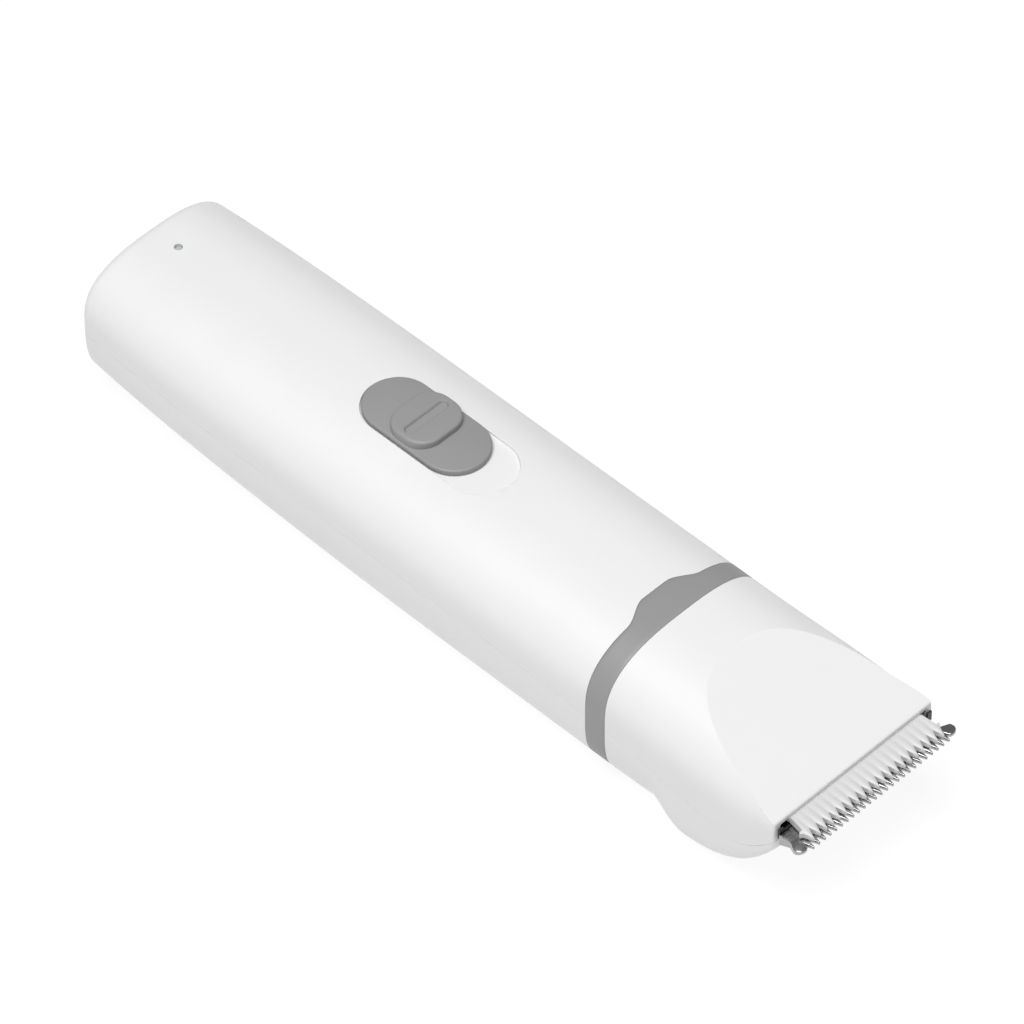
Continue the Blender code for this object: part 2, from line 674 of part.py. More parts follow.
def make_head_casing():
    half_shell("head_upper_shell", SHELL, head_rows(upper_arc, 0.0, 0.0),
               head_rows(upper_arc, HEAD_WALL, FACET_WALL), closed_tail=False)
    half_shell("head_lower_shell", SHELL, head_rows(lower_arc, 0.0, 0.0),
               head_rows(lower_arc, HEAD_WALL, 0.0), closed_tail=False)
    sleeve("head_plug", NATURAL, (-5.0 * MM, 2.5 * MM), 2.4 * MM, 4.0 * MM, handle_section)
    for name, side in (("head_latch_left", 1), ("head_latch_right", -1)):
        y = sorted((side * 12.9, side * 14.1))
        latch = box(name, ZINC, (-6.8, y[0], 11.0), (3.5, y[1], 17.5))
        hook = sorted((side * 14.0, side * 14.9))
        combine(latch, "UNION", lambda bm, hook=hook: add_box(
            bm, (-6.8, hook[0], 11.5), (-5.4, hook[1], 17.0)))


def make_holder():
    holder = box("blade_holder", BLACK, (18, -15.2, 14.1), (36, 15.2, 16.4))
    supports = (((18.3, 11.4, 4.0), (21.6, 14.6, 15.0)), ((33.5, 14.0, 15.0), (36, 15.2, 19.4)),
                ((35.5, 14.0, 17.3), (38.9, 15.2, 19.4)), ((38.55, 14.6, 18.2), (38.95, 18.1, 19.5)),
                ((38.55, 17.1, 19.3), (38.95, 18.1, 20.3)))
    for low, high in supports:
        for side in (-1, 1):
            edges = sorted((side * low[1], side * high[1]))
            combine(holder, "UNION", lambda bm, low=low, high=high, edges=edges: add_box(
                bm, (low[0], edges[0], low[2]), (high[0], edges[1], high[2])))
    for name, side in (("blade_screw_left", 1), ("blade_screw_right", -1)):
        screw = [(0, 0), (0.9, 0), (0.9, 4.9), (1.7, 4.9), (1.7, 5.6), (1.3, 6.0), (0, 6.0)]
        obj = spin(name, ZINC, screw, (BLADE_SCREW_X / MM, side * BLADE_SCREW_Y / MM, 14.8), 16)
        obj.rotation_euler = (0, 0, 0)
        combine(holder, "DIFFERENCE", lambda bm, side=side: add_screw_hole(bm, side, 13, 17))


def add_screw_hole(bm, side, low, high):
    """The clearance hole of a blade screw, between two levels in millimetres."""
    x, y = BLADE_SCREW_X / MM, side * BLADE_SCREW_Y / MM
    add_cylinder(bm, (x, y, low), (x, y, high), 1.2, 16)


def comb_outline():
    """Plan of the steel comb's front: a row of round-tipped teeth between two corner lobes."""
    points = [(33.0 * MM, -13.6 * MM), (39.5 * MM, -13.6 * MM), (39.5 * MM, -COMB_NECK)]
    lobe = [(41.4, -17.5), (42.2, -18.4), (43.1, -19.0), (43.9, -19.1), (44.5, -18.7), (44.7, -18.0),
            (44.5, -17.2), (41.6, -16.85)]
    points += [(x * MM, y * MM) for x, y in lobe]
    first = -COMB_PITCH * (COMB_TEETH - 1) / 2
    for k in range(COMB_TEETH):
        y = first + k * COMB_PITCH
        points += [(41.6 * MM, y - 0.36 * MM), (TIP_X - 0.5 * MM, y - 0.22 * MM), (TIP_X, y),
                   (TIP_X - 0.5 * MM, y + 0.22 * MM), (41.6 * MM, y + 0.36 * MM)]
    mirrored = [(x, -y) for x, y in points[:3 + len(lobe)]]
    return points + mirrored[::-1]


def make_blades():
    bm = bmesh.new()
    prism(bm, comb_outline(), 14.0 * MM, 19.5 * MM)
    comb = from_bmesh(bm, "fixed_blade", STEEL)
    combine(comb, "UNION", lambda bm: add_box(bm, (39.25, -18.8, 14.0), (41.8, 18.8, 17.9)))
    combine(comb, "DIFFERENCE", lambda bm: comb_underside(bm))
    for side in (-1, 1):
        combine(comb, "DIFFERENCE", lambda bm, side=side: add_screw_hole(bm, side, 13, 22))
    bm = bmesh.new()
    prism(bm, blade_outline(), 19.85 * MM, 21.25 * MM)
    blade = from_bmesh(bm, "moving_blade", CERAMIC)
    combine(blade, "UNION", lambda bm: add_box(bm, (28, -9, 19.85), (39.6, 9, 20.45)))
    combine(blade, "UNION", lambda bm: add_box(bm, (37.5, -15.4, 19.85), (39.6, 15.4, 20.45)))


def comb_underside(bm):
    """Everything below the comb's hollow-ground underside."""
    points = [(46.5, 19.15), (42.3, 18.75), (38.75, 15.2), (38.75, 17.25), (32.0, 17.25),
              (32.0, 13), (46.5, 13)]
    outline = [(x * MM, z * MM) for x, z in points]
    front = [bm.verts.new((x, -25 * MM, z)) for x, z in outline]
    back = [bm.verts.new((x, 25 * MM, z)) for x, z in outline]
    bm.faces.new(front)
    bm.faces.new(back[::-1])
    for i in range(len(outline)):
        j = (i + 1) % len(outline)
        bm.faces.new((front[i], front[j], back[j], back[i]))


def blade_outline():
    """Plan of the ceramic blade's toothed front."""
    points = [(BLADE_REAR_X, -BLADE_HALF + 0.5 * MM), (BLADE_REAR_X + 0.5 * MM, -BLADE_HALF)]
    first = -BLADE_PITCH * (BLADE_TEETH - 1) / 2
    for k in range(BLADE_TEETH):
        y = first + k * BLADE_PITCH
        points += [(BLADE_ROOT_X, y - 0.42 * MM), (BLADE_TIP_X, y - 0.1 * MM),
                   (BLADE_TIP_X, y + 0.1 * MM), (BLADE_ROOT_X, y + 0.42 * MM)]
    mirrored = [(x, -y) for x, y in points[:2]]
    return points + mirrored[::-1]


def make_carriage():
    """The arm that carries the ceramic blade and takes the eccentric pin in its fork."""
    carriage = box("blade_carriage", NATURAL, (2.6, -4, 20.8), (31, 4, 22.2))
    combine(carriage, "UNION", lambda bm: add_box(bm, (2.6, -5, 10.3), (5.4, 5, 21.5)))
    combine(carriage, "UNION", lambda bm: add_box(bm, (27.5, -8.2, 20.8), (31, 8.2, 22.2)))
    combine(carriage, "DIFFERENCE", lambda bm: add_box(bm, (2, -1.3, 11.6), (6, 1.3, 17.4)))
    route = [(20, -13, 16.8), (20, -13, 19.5), (22, -11, 21.6), (24.2, -6, 22.95), (24.6, 0, 23.0),
             (24.2, 6, 22.95), (22, 11, 21.6), (20, 13, 19.5), (20, 13, 16.8)]
    tube_curve("blade_spring", STEEL, smooth_path(route, 3), 0.4)


make_upper_shell()
make_lower_shell()
make_collar()
make_chassis()
make_battery()
make_electronics()
make_switch()
make_motor()
make_rotor()
make_leads()
make_head_casing()
make_holder()
make_blades()
make_carriage()
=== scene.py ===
"""Looks of the electric pet clipper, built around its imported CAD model.

Shapes are drawn in millimetres with X measured from the collar ring's front face, and are moved to the
frame's metres when a piece is made. The body's section formulas are those of the CAD.
"""

import json
import math

import bmesh
import bpy
from mathutils import Matrix, Vector


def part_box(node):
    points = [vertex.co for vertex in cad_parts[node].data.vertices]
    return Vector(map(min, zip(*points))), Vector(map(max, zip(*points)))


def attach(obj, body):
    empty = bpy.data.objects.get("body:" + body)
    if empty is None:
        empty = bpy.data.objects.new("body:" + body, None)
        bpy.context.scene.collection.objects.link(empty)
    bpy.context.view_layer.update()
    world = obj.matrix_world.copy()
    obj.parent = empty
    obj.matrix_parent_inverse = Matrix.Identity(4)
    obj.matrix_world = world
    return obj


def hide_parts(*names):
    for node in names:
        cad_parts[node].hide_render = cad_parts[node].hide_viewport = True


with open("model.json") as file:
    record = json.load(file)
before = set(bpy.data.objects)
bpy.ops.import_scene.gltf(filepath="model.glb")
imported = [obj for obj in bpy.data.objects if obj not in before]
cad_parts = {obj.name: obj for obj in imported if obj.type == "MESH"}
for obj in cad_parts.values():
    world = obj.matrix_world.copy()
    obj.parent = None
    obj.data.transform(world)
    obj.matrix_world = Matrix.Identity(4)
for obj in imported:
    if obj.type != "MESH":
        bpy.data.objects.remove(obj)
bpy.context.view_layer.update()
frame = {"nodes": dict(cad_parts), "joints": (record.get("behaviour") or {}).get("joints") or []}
NODES = frame["nodes"]
MM = 0.001


def size_of(node):
    """A CAD node's lowest and highest corners in millimetres, X measured from the ring's front."""
    low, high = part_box(node)
    shift = Vector((RING_X, 0.0, 0.0))
    return (low - shift) / MM, (high - shift) / MM


# Driving sizes, from the frame
RING_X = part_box("collar_ring")[1].x
HANDLE_LENGTH = -size_of("lower_shell")[0].x
HALF_WIDTH = size_of("collar_ring")[1].y
HEIGHT = size_of("collar_ring")[1].z
HEAD_FRONT = size_of("head_upper_shell")[1].x
TIP_X = size_of("fixed_blade")[1].x
SWITCH_LOW, SWITCH_HIGH = size_of("switch_cap")
SWITCH_X = (SWITCH_LOW.x + SWITCH_HIGH.x) / 2
SWITCH_LENGTH = SWITCH_HIGH.x - SWITCH_LOW.x
SWITCH_WIDTH = SWITCH_HIGH.y - SWITCH_LOW.y
BLADE_LOW, BLADE_HIGH = size_of("moving_blade")
COMB_TOP = size_of("fixed_blade")[1].z

# The body's section, as in the CAD
WIDEST_Z = 15.75
N_TOP, N_BOTTOM, N_CHIN = 2.71, 3.75, 9.0
LAND = 0.12
TAIL_NARROWING, TAIL_DROP, TAIL_RISE, RISE_START, WIDEST_RISE = 0.10, 0.35, 3.6, 0.35, 0.126
TAIL_ROUND = 2.0
HANDLE_SEAM, HANDLE_SEAM_RISE = 14.4, 0.85
HEAD_SEAM, HEAD_SEAM_SLOPE, HEAD_SEAM_LIFT = 14.15, 0.1118, 7.6
FACET_START, FACET_SLOPE = 11.2, 0.2637
CHIN_START, CHIN_RISE = 9.0, 15.1
RING_WIDTH, HUMP, HUMP_FLAT, HUMP_FOOT = 4.4, 2.25, 2.75, 8.75
WALL, HEAD_WALL, FACET_WALL = 2.0, 1.6, 0.9

# Fine detail
SEAM_GAP = 0.03               # between the two shells behind the seam
SEAM_CHAMFER = 0.15           # on the lower shell's edge, which catches the light
RING_GAP = 0.05
COLUMNS = 120                 # points round half a section
POCKET_FLOOR = 27.85
POCKET_GAP, POCKET_ROUND = 0.25, 0.15
LED_X, LED_RADIUS = -119.1, 0.78
SOCKET_Z, SOCKET_MOUTH = 19.05, (9.6, 3.8)
SLIDER_SLOT = ((-4.8, -2.6, 24), (11.0, 2.6, 29))     # opening under the switch, X from its middle
RIM_ROUND, FACET_ROUND, ROUND_STEPS = 0.5, 0.38, 6    # front edges of the head and of its sloping face


# ---------------------------------------------------------------- sections

def ease(t):
    t = min(max(t, 0.0), 1.0)
    return t * t * (3 - 2 * t)


def handle_section(x):
    s = min(max(-x / HANDLE_LENGTH, 0.0), 1.0)
    rise = TAIL_RISE * max(0.0, (s - RISE_START) / (1 - RISE_START)) ** 1.4
    return {"half": HALF_WIDTH * (1 - TAIL_NARROWING * s ** 6), "top": HEIGHT - TAIL_DROP * s * s,
            "widest": HEIGHT - (HEIGHT - WIDEST_Z) * (1 - WIDEST_RISE * s ** 2.2),
            "bottom": rise - LAND, "floor": rise, "n_top": N_TOP, "n_bottom": N_BOTTOM,
            "seam": HANDLE_SEAM + HANDLE_SEAM_RISE * ease(s / 0.7), "roof": math.inf}


def head_section(x):
    waist = 0.6 * ease(1 - abs(x - 11.5) / 5)
    low = LAND * (2 * ease(x / 10) - 1) + waist
    chin = CHIN_RISE * max(0.0, (x - CHIN_START) / 29.3) ** 3.4
    lift = HEAD_SEAM_LIFT * max(0.0, (x - 29) / 9.3) ** 1.5
    return {"half": HALF_WIDTH + 0.45 * ease((x - 4) / 22), "top": HEIGHT,
            "widest": WIDEST_Z + 3 * ease((x - 30) / 8.3), "bottom": low + chin,
            "floor": max(0.0, low + chin), "n_top": N_TOP,
            "n_bottom": N_BOTTOM + (N_CHIN - N_BOTTOM) * ease((x - 9.5) / 9),
            "seam": HEAD_SEAM - HEAD_SEAM_SLOPE * x + lift, "roof": math.inf}


def inset(section, wall):
    inner = dict(section)
    inner["half"] -= wall
    inner["top"] -= wall
    inner["bottom"] += wall
    inner["floor"] += wall
    return inner


def angle_at(section, z):
    """The section's angle where its outline is at height z, on the +Y side."""
    if z >= section["widest"]:
        share = (z - section["widest"]) / (section["top"] - section["widest"])
        return math.asin(min(1.0, share) ** (section["n_top"] / 2))
    share = (section["widest"] - z) / (section["widest"] - section["bottom"])
    return -math.asin(min(1.0, share) ** (section["n_bottom"] / 2))


def outline_point(section, angle):
    """The (y, z) of the outline at an angle from +Y."""
    c, s = math.cos(angle), math.sin(angle)
    power = 2 / (section["n_top"] if s >= 0 else section["n_bottom"])
    y = section["half"] * math.copysign(abs(c) ** power, c)
    if s >= 0:
        return y, min(section["widest"] + (section["top"] - section["widest"]) * s ** power, section["roof"])
    z = section["widest"] - (section["widest"] - section["bottom"]) * (-s) ** power
    return y, max(z, section["floor"])


def resample(points, count):
    """Evenly spaced points along an open polyline."""
    reach = [0.0]
    for a, b in zip(points, points[1:]):
        reach.append(reach[-1] + math.dist(a, b))
    spaced, k = [], 0
    for i in range(count + 1):
        goal = reach[-1] * i / count
        while k < len(reach) - 2 and reach[k + 1] < goal:
            k += 1
        span = reach[k + 1] - reach[k]
        t = (goal - reach[k]) / span if span else 0.0
        spaced.append(tuple(a + (b - a) * t for a, b in zip(points[k], points[k + 1])))
    return spaced


def arc(section, start, end, count=COLUMNS):
    fine = 6 * count
    powered = [start + (end - start) * ease_ends(k / fine) for k in range(fine + 1)]
    return resample([outline_point(section, angle) for angle in powered], count)


def ease_ends(t):
    """Crowds samples towards the two ends, where a superellipse moves fastest with its angle."""
    across = 2 * t - 1
    return 0.5 + 0.5 * math.copysign(abs(across) ** 0.5, across)


def upper_arc(section, gap=SEAM_GAP):
    start = angle_at(section, section["seam"] + gap)
    return arc(section, start, math.pi - start)


def lower_arc(section, gap=SEAM_GAP):
    start = angle_at(section, section["seam"] - gap)
    return arc(section, start, -math.pi - start)


def ring_rear(y):
    """X of the collar ring's rear edge: straight, with a low hump over the top."""
    return -RING_WIDTH - HUMP * ease((HUMP_FOOT - abs(y)) / (HUMP_FOOT - HUMP_FLAT))


# ---------------------------------------------------------------- mesh helpers

def to_verts(bm, rows):
    return [[bm.verts.new(point) for point in row] for row in rows]


def skin(bm, rows, closed=False):
    """Quads between neighbouring rows of vertices."""
    for a, b in zip(rows, rows[1:]):
        for j in range(len(a) if closed else len(a) - 1):
            k = (j + 1) % len(a)
            bm.faces.new((a[j], a[k], b[k], b[j]))


def temp_object(bm):
    bmesh.ops.recalc_face_normals(bm, faces=bm.faces)
    mesh = bpy.data.meshes.new("temp")
    bm.to_mesh(mesh)
    bm.free()
    obj = bpy.data.objects.new("temp", mesh)
    bpy.context.scene.collection.objects.link(obj)
    return obj


def combine(bm, operation, draw):
    """The bmesh after a Boolean with a shape that a function draws."""
    target = temp_object(bm)
    other = bmesh.new()
    draw(other)
    tool = temp_object(other)
    modifier = target.modifiers.new("combine", "BOOLEAN")
    modifier.operation = operation
    modifier.solver = "EXACT"
    modifier.object = tool
    graph = bpy.context.evaluated_depsgraph_get()
    mesh = bpy.data.meshes.new_from_object(target.evaluated_get(graph))
    for obj in (target, tool):
        bpy.data.objects.remove(obj)
    result = bmesh.new()
    result.from_mesh(mesh)
    return result


def piece(name, bm, mat, body, stands_for, sharp=35):
    """Make a visible piece from a bmesh drawn in millimetres, riding on a body."""
    bmesh.ops.recalc_face_normals(bm, faces=bm.faces)
    bmesh.ops.scale(bm, vec=(MM, MM, MM), verts=bm.verts)
    bmesh.ops.translate(bm, vec=(RING_X, 0.0, 0.0), verts=bm.verts)
    mesh = bpy.data.meshes.new(name)
    bm.to_mesh(mesh)
    bm.free()
    mesh.shade_smooth()
    mesh.set_sharp_from_angle(angle=math.radians(sharp))
    mesh.materials.clear()
    mesh.materials.append(mat)
    obj = bpy.data.objects.new(name, mesh)
    bpy.context.scene.collection.objects.link(obj)
    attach(obj, body)
    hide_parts(stands_for)
    return obj


def prism(bm, outline, levels, axis="Z"):
    """A closed solid on an outline, with one loop for each (level, inset) pair."""
    def place(a, b, level):
        return {"X": (level, a, b), "Y": (a, level, b), "Z": (a, b, level)}[axis]
    rows = [[place(a, b, level) for a, b in offset(outline, depth)] for level, depth in levels]
    loops = to_verts(bm, rows)
    skin(bm, loops, closed=True)
    bm.faces.new(loops[0][::-1])
    bm.faces.new(loops[-1])


def offset(outline, depth):
    """A counter-clockwise outline moved inwards by a depth."""
    if not depth:
        return outline
    moved = []
    count = len(outline)
    for i in range(count):
        before, here, after = (Vector(outline[(i + k) % count]) for k in (-1, 0, 1))
        a, b = (here - before).normalized(), (after - here).normalized()
        normal = Vector((-(a.y + b.y), a.x + b.x)).normalized()
        mitre = max(0.35, normal.dot(Vector((-b.y, b.x))))
        moved.append(tuple(here + normal * depth / mitre))
    return moved


def stadium(centre_x, length, width, steps=16, across=False):
    """Outline of a slot with round ends, along X, or along Y when across is true."""
    radius = min(length, width) / 2
    reach = max(length, width) / 2 - radius
    points = []
    for side in (1, -1):
        for k in range(steps + 1):
            angle = math.pi * (k / steps - 0.5)
            a = side * (reach + radius * math.cos(angle))
            b = side * radius * math.sin(angle)
            points.append((centre_x - b, a) if across else (centre_x + a, b))
    return points


def rounded(low, high, radius, steps=5):
    """(level, inset) pairs of a solid whose top edge is rounded."""
    turns = [math.radians(90 * k / steps) for k in range(steps + 1)]
    return [(low, 0.0)] + [(high - radius * (1 - math.sin(t)), radius * (1 - math.cos(t))) for t in turns]


# ---------------------------------------------------------------- materials

def tree_of(name, color, roughness, metallic=0.0, **inputs):
    """A new node material: its tree and its Principled shader, with even values set on the shader."""
    mat = bpy.data.materials.new(name)
    mat.use_nodes = True
    tree = mat.node_tree
    shader = tree.nodes["Principled BSDF"]
    shader.inputs["Base Color"].default_value = (*color, 1.0)
    shader.inputs["Roughness"].default_value = roughness
    shader.inputs["Metallic"].default_value = metallic
    for key, value in inputs.items():
        shader.inputs[key.replace("_", " ")].default_value = value
    return mat, tree, shader


def add(tree, kind, inputs=None, **settings):
    node = tree.nodes.new(kind)
    for key, value in settings.items():
        setattr(node, key, value)
    for key, value in (inputs or {}).items():
        node.inputs[key].default_value = value
    return node


def noise(tree, grains, stretch=(1.0, 1.0, 1.0), detail=3.0):
    """A noise of so many grains to the metre, stretched along the piece's axes."""
    place = add(tree, "ShaderNodeTexCoord")
    turn = add(tree, "ShaderNodeMapping", {"Scale": stretch})
    cloud = add(tree, "ShaderNodeTexNoise", {"Scale": grains, "Detail": detail, "Roughness": 0.55})
    tree.links.new(place.outputs["Object"], turn.inputs["Vector"])
    tree.links.new(turn.outputs["Vector"], cloud.inputs["Vector"])
    return cloud.outputs["Fac"]


def vary_color(tree, shader, factor, dark, light):
    ramp = add(tree, "ShaderNodeValToRGB")
    ramp.color_ramp.elements[0].position = 0.3
    ramp.color_ramp.elements[1].position = 0.7
    ramp.color_ramp.elements[0].color = (*dark, 1.0)
    ramp.color_ramp.elements[1].color = (*light, 1.0)
    tree.links.new(factor, ramp.inputs["Fac"])
    tree.links.new(ramp.outputs["Color"], shader.inputs["Base Color"])


def vary_roughness(tree, shader, factor, low, high):
    span = add(tree, "ShaderNodeMapRange", {"From Min": 0.3, "From Max": 0.7, "To Min": low, "To Max": high})
    tree.links.new(factor, span.inputs["Value"])
    tree.links.new(span.outputs["Result"], shader.inputs["Roughness"])


def bump(tree, shader, height, strength, depth):
    node = add(tree, "ShaderNodeBump", {"Strength": strength, "Distance": depth * MM})
    tree.links.new(height, node.inputs["Height"])
    tree.links.new(node.outputs["Normal"], shader.inputs["Normal"])


def scaled(color, factor):
    return tuple(min(1.0, channel * factor) for channel in color)


def plastic(name, color, roughness, spread=0.03, grain=2600.0, depth=0.012, **inputs):
    """Moulded plastic: a faint tone drift, uneven gloss and a fine moulded grain."""
    mat, tree, shader = tree_of(name, color, roughness, **inputs)
    drift = noise(tree, 45.0, detail=2.0)
    vary_color(tree, shader, drift, scaled(color, 1 - spread), scaled(color, 1 + spread / 2))
    vary_roughness(tree, shader, noise(tree, 160.0), roughness - 0.05, roughness + 0.06)
    bump(tree, shader, noise(tree, grain, detail=2.0), 0.5, depth)
    return mat


def metal(name, color, roughness, stretch, spread=0.12, grain=1500.0, depth=0.006):
    """Ground or rolled metal: streaks of tone and gloss along the grinding direction."""
    mat, tree, shader = tree_of(name, color, roughness, 1.0)
    streaks = noise(tree, grain, stretch)
    vary_color(tree, shader, streaks, scaled(color, 1 - spread), scaled(color, 1 + spread))
    vary_roughness(tree, shader, noise(tree, grain / 3, stretch), roughness * 0.7, roughness * 1.4)
    bump(tree, shader, streaks, 0.6, depth)
    return mat


BANDS_PER_SCALE = 3.183       # bands to the metre that a wave texture makes at scale 1


def banded(name, color, roughness, metallic, pitch, axis, contrast, depth):
    """Material with even bands along an axis, such as stacked laminations."""
    mat, tree, shader = tree_of(name, color, roughness, metallic)
    place = add(tree, "ShaderNodeTexCoord")
    scale = 1 / (pitch * MM) / BANDS_PER_SCALE
    wave = add(tree, "ShaderNodeTexWave", {"Scale": scale, "Distortion": 0.15, "Detail": 1.0},
               bands_direction=axis)
    tree.links.new(place.outputs["Object"], wave.inputs["Vector"])
    vary_color(tree, shader, wave.outputs["Fac"], scaled(color, 1 - contrast), scaled(color, 1 + contrast))
    vary_roughness(tree, shader, noise(tree, 700.0), roughness - 0.06, roughness + 0.08)
    bump(tree, shader, wave.outputs["Fac"], 0.7, depth)
    return mat


def board_material():
    """Green solder mask over faint copper runs."""
    color = (0.02, 0.17, 0.06)
    mat, tree, shader = tree_of("circuit_board", color, 0.35, Coat_Weight=0.4)
    place = add(tree, "ShaderNodeTexCoord")
    runs = add(tree, "ShaderNodeTexBrick", {"Scale": 260.0, "Mortar Size": 0.09, "Color1": (*color, 1.0),
                                            "Color2": (*scaled(color, 0.8), 1.0),
                                            "Mortar": (*scaled(color, 1.9), 1.0)})
    tree.links.new(place.outputs["Object"], runs.inputs["Vector"])
    tree.links.new(runs.outputs["Color"], shader.inputs["Base Color"])
    vary_roughness(tree, shader, noise(tree, 500.0), 0.28, 0.42)
    bump(tree, shader, runs.outputs["Fac"], 0.5, 0.03)
    return mat


WHITE = (0.735, 0.735, 0.738)
GREY = (0.265, 0.265, 0.267)
SHELL_MAT = plastic("satin_white_shell", WHITE, 0.36, spread=0.008, depth=0.004)
GREY_MAT = plastic("satin_grey_plastic", GREY, 0.48, spread=0.04, grain=3600.0, depth=0.010)
BLACK_MAT = plastic("matt_black_plastic", (0.018, 0.018, 0.02), 0.42, spread=0.25)
NATURAL_MAT = plastic("natural_plastic", (0.72, 0.71, 0.66), 0.45, spread=0.05)
CLEAR_MAT = plastic("clear_light_guide", (0.62, 0.66, 0.66), 0.12, spread=0.05, Transmission_Weight=0.35)
CERAMIC_MAT = plastic("ground_ceramic", (0.60, 0.60, 0.60), 0.45, spread=0.02, grain=5200.0, depth=0.004)
STEEL_MAT = metal("ground_comb_steel", (0.40, 0.40, 0.405), 0.24, (1.0, 0.08, 1.0))
ZINC_MAT = metal("plated_steel", (0.60, 0.60, 0.585), 0.33, (0.15, 1.0, 1.0))
BRASS_MAT = metal("turned_brass", (0.74, 0.53, 0.22), 0.28, (1.0, 0.2, 0.2))
FERRITE_MAT = plastic("sintered_ferrite", (0.045, 0.045, 0.05), 0.6, spread=0.3, depth=0.03)
LAMINATE_MAT = banded("stacked_laminations", (0.34, 0.32, 0.31), 0.42, 1.0, 0.5, "X", 0.35, 0.05)
WRAP_MAT = plastic("shrink_wrapped_cell", (0.03, 0.13, 0.33), 0.30, spread=0.12, grain=300.0, depth=0.03)
BOARD_MAT = board_material()
RED_MAT = plastic("red_lead_insulation", (0.42, 0.02, 0.02), 0.42, spread=0.1)
DARK_LEAD_MAT = plastic("black_lead_insulation", (0.015, 0.015, 0.015), 0.42, spread=0.3)

NODE_MATERIALS = (
    (BLACK_MAT, ("chassis", "motor_end_cap", "charge_chip", "socket_tongue", "switch_knob",
                 "blade_holder")),
    (NATURAL_MAT, ("front_bulkhead", "switch_slider", "eccentric_cam", "head_plug",
                   "blade_carriage")),
    (CLEAR_MAT, ("status_led", "light_pipe")),
    (STEEL_MAT, ("motor_shaft", "drive_pin", "blade_spring")),
    (ZINC_MAT, ("battery_tab_front", "battery_tab_rear", "charging_socket", "switch_housing",
                "motor_can", "motor_screw_left", "motor_screw_right", "blade_screw_left",
                "blade_screw_right", "head_latch_left", "head_latch_right")),
    (BRASS_MAT, ("front_bearing", "rear_bearing", "motor_terminal_left",
                 "motor_terminal_right", "commutator")),
    (FERRITE_MAT, ("motor_magnet_left", "motor_magnet_right", "charge_inductor")),
    (LAMINATE_MAT, ("motor_armature",)),
    (WRAP_MAT, ("battery_cell",)),
    (BOARD_MAT, ("main_board",)),
    (RED_MAT, ("motor_lead_left",)),
    (DARK_LEAD_MAT, ("motor_lead_right",)),
)


def dress_cad_nodes():
    """Give every CAD node that stays in view its material."""
    for mat, names in NODE_MATERIALS:
        for name in names:
            NODES[name].data.materials.clear()
            NODES[name].data.materials.append(mat)


# ---------------------------------------------------------------- handle casing

TAIL_STEPS, HANDLE_STEPS = 10, 84
HUMP_RUN = 16.0               # length over which the rows bend to follow the ring's rear edge
TAIL_WALL_EXTRA = 1.2         # more wall inside the rounded tail


def shell_rows(stations, section_at, half_arc, chamfered, x_of=None, pulls=None):
    """Rows of a half shell's outer face, with the chamfered edge of the seam when asked."""
    rows = []
    for i, x in enumerate(stations):
        section = inset(section_at(x), pulls[i] if pulls else 0.0)
        row = half_arc(section, SEAM_CHAMFER) if chamfered else half_arc(section)
        if chamfered:
            edge = half_arc(inset(section, 0.6 * SEAM_CHAMFER))
            row = [edge[0]] + row + [edge[-1]]
        rows.append([(x_of(x, y) if x_of else x, y, z) for y, z in row])
    return rows


def half_shell(outer_rows, inner_rows, closed_tail):
    """A C-section shell; rows may have more points outside than inside, by whole lips."""
    bm = bmesh.new()
    outer, inner = to_verts(bm, outer_rows), to_verts(bm, inner_rows)
    skin(bm, outer)
    skin(bm, inner)
    for side in (0, -1):
        skin(bm, [[row[side] for row in outer], [row[side] for row in inner]])
    ends = [(outer[-1], inner[-1])]
    if closed_tail:
        bm.faces.new(outer[0])
        bm.faces.new(inner[0])
        bm.faces.new((outer[0][0], outer[0][-1], inner[0][-1], inner[0][0]))
    else:
        ends.append((outer[0], inner[0]))
    for a, b in ends:
        lips = (len(a) - len(b)) // 2
        skin(bm, [a[lips:len(a) - lips], b])
        if lips:
            bm.faces.new((a[0], a[1], b[0]))
            bm.faces.new((a[-1], a[-2], b[-1]))
    return bm


def handle_shell(half_arc, upper):
    """Outer and inner rows of a handle shell, from the rounded tail to the collar ring."""
    turns = [math.radians(90 * k / TAIL_STEPS) for k in range(TAIL_STEPS + 1)]
    tail = [-HANDLE_LENGTH + TAIL_ROUND * (1 - math.cos(t)) for t in turns]
    pulls = [TAIL_ROUND * (1 - math.sin(t)) for t in turns]
    start, front = tail[-1], -RING_WIDTH - (HUMP + RING_GAP if upper else RING_GAP)
    straight = [start + (front - start) * k / HANDLE_STEPS for k in range(1, HANDLE_STEPS + 1)]
    stations = tail + straight

    def x_of(x, y):
        share = max(0.0, (x + HUMP_RUN) / (front + HUMP_RUN))
        edge = (ring_rear(y) if upper else -RING_WIDTH) - RING_GAP
        return x + (edge - front) * share ** 2

    outer = shell_rows(stations, handle_section, half_arc, not upper, x_of, pulls + [0.0] * HANDLE_STEPS)
    inner_tail = -HANDLE_LENGTH + WALL
    inner_stations = [max(x, inner_tail + 0.02 * i) for i, x in enumerate(stations)]
    inner = []
    for i, x in enumerate(inner_stations):
        wall = WALL + TAIL_WALL_EXTRA * max(0.0, 1 - i / TAIL_STEPS) ** 2
        inner.append([(x_of(x, y), y, z) for y, z in half_arc(inset(handle_section(x), wall))])
    return half_shell(outer, inner, closed_tail=True)


def surface_z(x, y):
    """Height of the handle's upper face over a point."""
    section = handle_section(x)
    share = max(0.0, 1 - (abs(y) / section["half"]) ** section["n_top"])
    return section["widest"] + (section["top"] - section["widest"]) * share ** (1 / section["n_top"])


